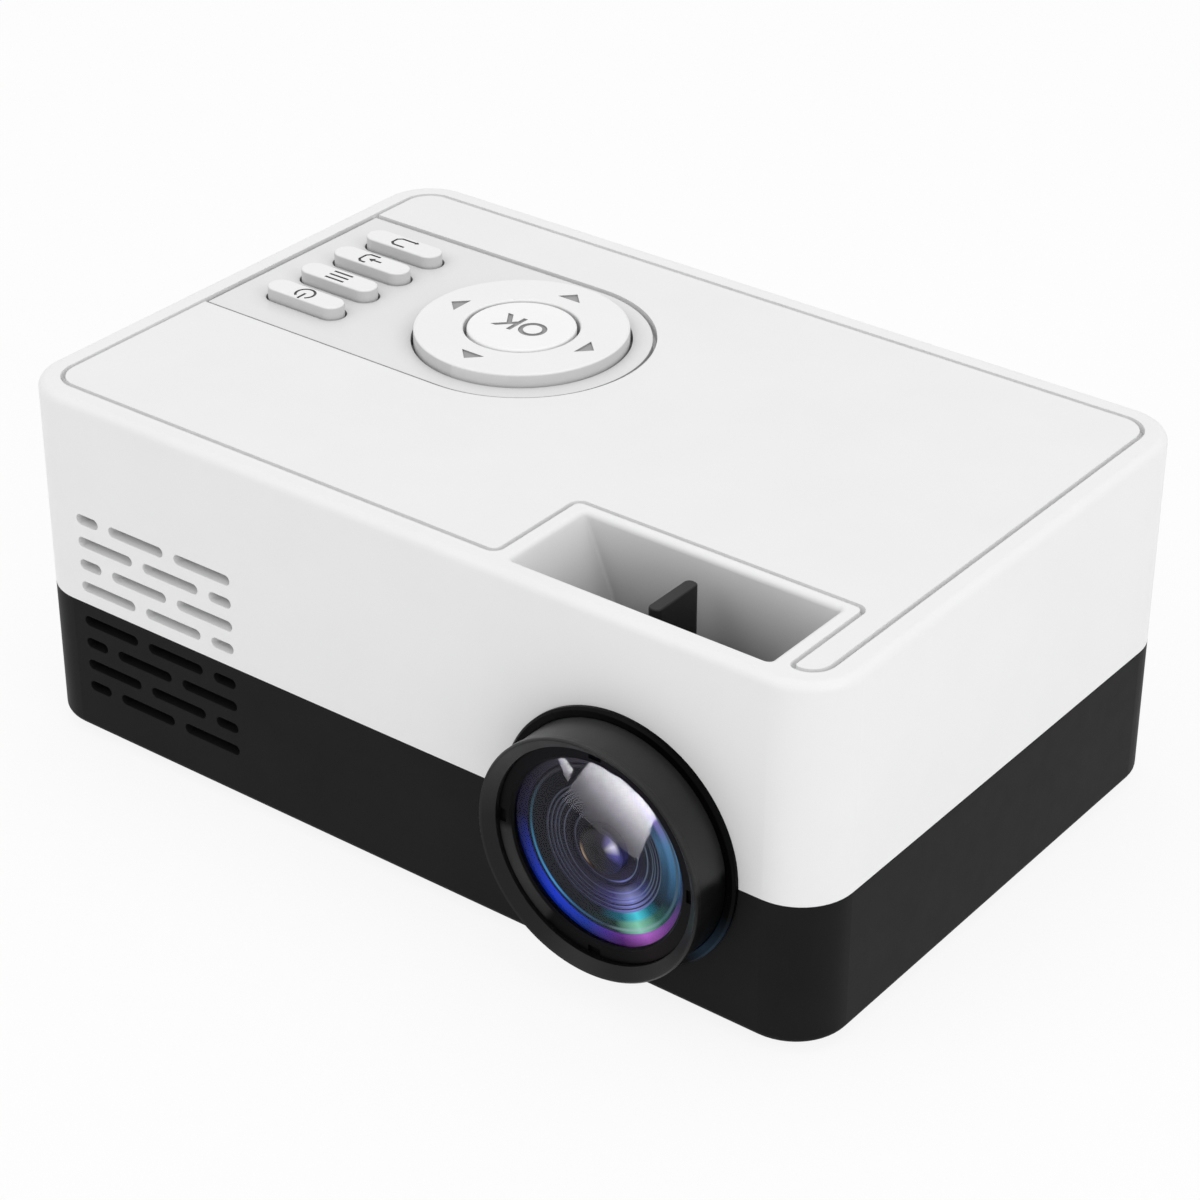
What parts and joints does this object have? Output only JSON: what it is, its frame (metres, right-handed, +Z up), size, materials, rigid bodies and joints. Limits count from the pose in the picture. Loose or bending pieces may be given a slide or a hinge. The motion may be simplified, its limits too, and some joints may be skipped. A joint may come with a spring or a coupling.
{
  "type": "mini projector",
  "caption": "Pocket video projector: two-shell housing with a flush top panel, keypad with direction ring, focus lever in a well over the lens, fan, boards and rear sockets.",
  "frame": {"origin": "mouth of the tripod thread, at the centre of the housing's underside", "axes": "+Z up, the lens looks along -Y, +X to the right seen from the front"},
  "size_m": [0.127, 0.0892, 0.0532],
  "materials": {
    "white_plastic": "satin white moulded plastic",
    "key_plastic": "satin white moulded plastic",
    "black_plastic": "fine matt black moulded plastic",
    "gloss_black": "gloss black",
    "barrel_black": "satin black",
    "lever_black": "matt black",
    "inner_black": "matt black",
    "coated_glass": "clear glass with a blue and violet coating",
    "optical_glass": "clear",
    "display_glass": "dark glass",
    "rubber": "matt black rubber",
    "board_green": "solder mask",
    "board_white": "white solder mask",
    "switch_black": "matt",
    "socket_black": "matt",
    "steel": "plated steel",
    "ir_plastic": "dark tinted plastic",
    "brass": "turned brass",
    "aluminium": "extruded"
  },
  "bodies": {
    "housing": {"av_jack": "socket_black", "card_slot": "steel", "condenser_lens": "optical_glass", "engine_case": "inner_black", "engine_lid": "inner_black", "fan_frame": "inner_black", "fresnel_lens": "optical_glass", "hdmi_port": "steel", "heat_sink": "aluminium", "housing_screws": "steel", "ir_window": "ir_plastic", "key_board": "board_green", "key_switches": "switch_black", "keypad_plate": "white_plastic", "lcd_panel": "display_glass", "led_module": "board_white", "lens_holder": "inner_black", "lens_trim_ring": "gloss_black", "lower_housing": "black_plastic", "main_board": "board_green", "nav_seat": "key_plastic", "power_socket": "socket_black", "rubber_feet": "rubber", "speaker": "inner_black", "top_panel": "white_plastic", "tripod_insert": "brass", "upper_housing": "white_plastic", "usb_port": "steel"},
    "lens_carriage": {"friction_ring": "rubber"},
    "lens_barrel": {"lens_barrel": "barrel_black", "front_glass": "coated_glass", "glass_retainer": "inner_black", "lens_baffle": "inner_black", "inner_lens": "optical_glass", "rear_lens": "optical_glass", "focus_lever": "lever_black"},
    "nav_rocker": {"nav_rocker": "key_plastic"},
    "nav_ring": {"nav_ring": "key_plastic"},
    "fan_rotor": {"fan_rotor": "inner_black"},
    "power_key": {"power_key": "key_plastic"},
    "menu_key": {"menu_key": "key_plastic"},
    "source_key": {"source_key": "key_plastic"},
    "back_key": {"back_key": "key_plastic"},
    "ok_key": {"ok_key": "key_plastic"}
  },
  "joints": [
    {"name": "focus_advance", "type": "slide", "parent": "housing", "child": "lens_carriage", "axis": [0, -1, 0], "range_m": [-0.0022, 0.0022]},
    {"name": "focus_turn", "type": "hinge", "parent": "lens_carriage", "child": "lens_barrel", "pos_m": [0.03535, -0.0312, 0.0201], "axis": [0, 1, 0], "range_deg": [-25, 25]},
    {"name": "power_key_press", "type": "slide", "parent": "housing", "child": "power_key", "axis": [0, 0, -1], "range_m": [0, 0.0005], "stiffness_N_per_m": 1500},
    {"name": "menu_key_press", "type": "slide", "parent": "housing", "child": "menu_key", "axis": [0, 0, -1], "range_m": [0, 0.0005], "stiffness_N_per_m": 1500},
    {"name": "source_key_press", "type": "slide", "parent": "housing", "child": "source_key", "axis": [0, 0, -1], "range_m": [0, 0.0005], "stiffness_N_per_m": 1500},
    {"name": "back_key_press", "type": "slide", "parent": "housing", "child": "back_key", "axis": [0, 0, -1], "range_m": [0, 0.0005], "stiffness_N_per_m": 1500},
    {"name": "ok_key_press", "type": "slide", "parent": "housing", "child": "ok_key", "axis": [0, 0, -1], "range_m": [0, 0.0005], "stiffness_N_per_m": 1500},
    {"name": "nav_tip_back_front", "type": "hinge", "parent": "housing", "child": "nav_rocker", "pos_m": [-0.0192, 0.00905, 0.045], "axis": [1, 0, 0], "range_deg": [-1.5, 1.5], "stiffness_Nm_per_rad": 0.5},
    {"name": "nav_tip_left_right", "type": "hinge", "parent": "nav_rocker", "child": "nav_ring", "pos_m": [-0.0192, 0.00905, 0.0468], "axis": [0, 1, 0], "range_deg": [-1.5, 1.5], "stiffness_Nm_per_rad": 0.5},
    {"name": "fan_spin", "type": "hinge", "parent": "housing", "child": "fan_rotor", "pos_m": [-0.057, 0.008, 0.0205], "axis": [1, 0, 0], "continuous": true}
  ],
  "couplings": [
    {"joint": "focus_advance", "follows": "focus_turn", "m_per_rad": 0.00504}
  ]
}
